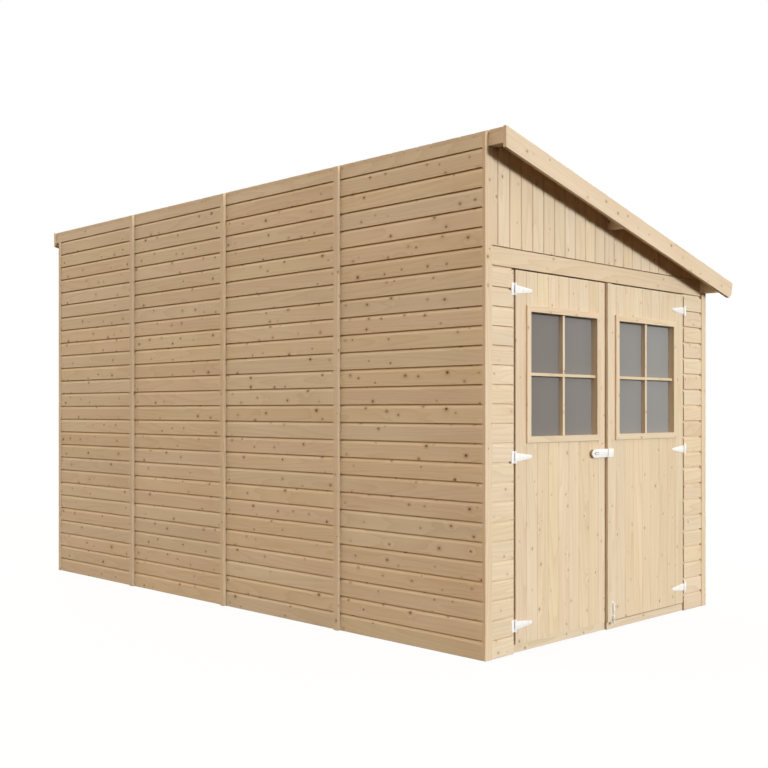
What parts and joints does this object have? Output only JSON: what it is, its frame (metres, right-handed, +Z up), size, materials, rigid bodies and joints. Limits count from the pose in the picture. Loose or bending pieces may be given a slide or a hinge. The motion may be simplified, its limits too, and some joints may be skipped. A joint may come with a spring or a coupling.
{
  "type": "wooden garden shed",
  "caption": "Lean-to garden shed of horizontal pine boards on a timber frame, with glazed double doors in the tall gable and a sloping boarded roof with bargeboards.",
  "frame": {"origin": "middle of the roof's outline, on the ground", "axes": "+X towards the door gable, along the length; -Y towards the high wall; +Z up"},
  "size_m": [4.144, 2.143, 2.4284],
  "materials": {
    "clad_wood": "planed pale softwood boards with small knots, untreated",
    "frame_wood": "planed softwood frame timber, untreated",
    "deck_wood": "tongued and grooved softwood boards, untreated",
    "white_metal": "white painted steel hardware",
    "window_glass": "clear sheet that reads grey against the dark room"
  },
  "bodies": {
    "shed": {"high_wall_panel_1": "clad_wood", "high_wall_panel_2": "clad_wood", "high_wall_panel_3": "clad_wood", "high_wall_panel_4": "clad_wood", "low_wall_panel_1": "clad_wood", "low_wall_panel_2": "clad_wood", "low_wall_panel_3": "clad_wood", "low_wall_panel_4": "clad_wood", "front_wall_left": "clad_wood", "front_wall_right": "clad_wood", "front_lintel": "clad_wood", "front_gable_boards": "clad_wood", "back_wall_panel_1": "clad_wood", "back_wall_panel_2": "clad_wood", "back_rail": "clad_wood", "back_gable_boards": "clad_wood", "corner_trims": "clad_wood", "cover_strips": "clad_wood", "bargeboards": "clad_wood", "door_sill": "clad_wood", "bolt_strip": "clad_wood", "floor_bearers": "frame_wood", "long_wall_plates": "frame_wood", "gable_plates": "frame_wood", "high_wall_studs": "frame_wood", "low_wall_studs": "frame_wood", "gable_studs": "frame_wood", "gable_rafters": "frame_wood", "purlins": "frame_wood", "roof_deck": "deck_wood", "floor_deck": "deck_wood", "hinge_plates": "white_metal"},
    "left_door": {"left_leaf": "clad_wood", "left_ledges": "frame_wood", "left_window_frame": "clad_wood", "left_window_glass": "window_glass", "left_hinge_straps": "white_metal", "hasp_strap": "white_metal"},
    "right_door": {"right_leaf": "clad_wood", "right_ledges": "frame_wood", "right_window_frame": "clad_wood", "right_window_glass": "window_glass", "right_hinge_straps": "white_metal", "meeting_strip": "clad_wood", "hasp_plate": "white_metal", "bolt_guides": "white_metal"},
    "bolt": {"drop_bolt": "white_metal"}
  },
  "joints": [
    {"name": "left_door_swing", "type": "hinge", "parent": "shed", "child": "left_door", "pos_m": [1.961, -0.853, 0.9265], "axis": [0, 0, -1], "range_deg": [0, 150]},
    {"name": "right_door_swing", "type": "hinge", "parent": "shed", "child": "right_door", "pos_m": [1.961, 0.7055, 0.9265], "axis": [0, 0, 1], "range_deg": [0, 150]},
    {"name": "bolt_slide", "type": "slide", "parent": "right_door", "child": "bolt", "axis": [0, 0, -1], "range_m": [0, 0.02]}
  ]
}
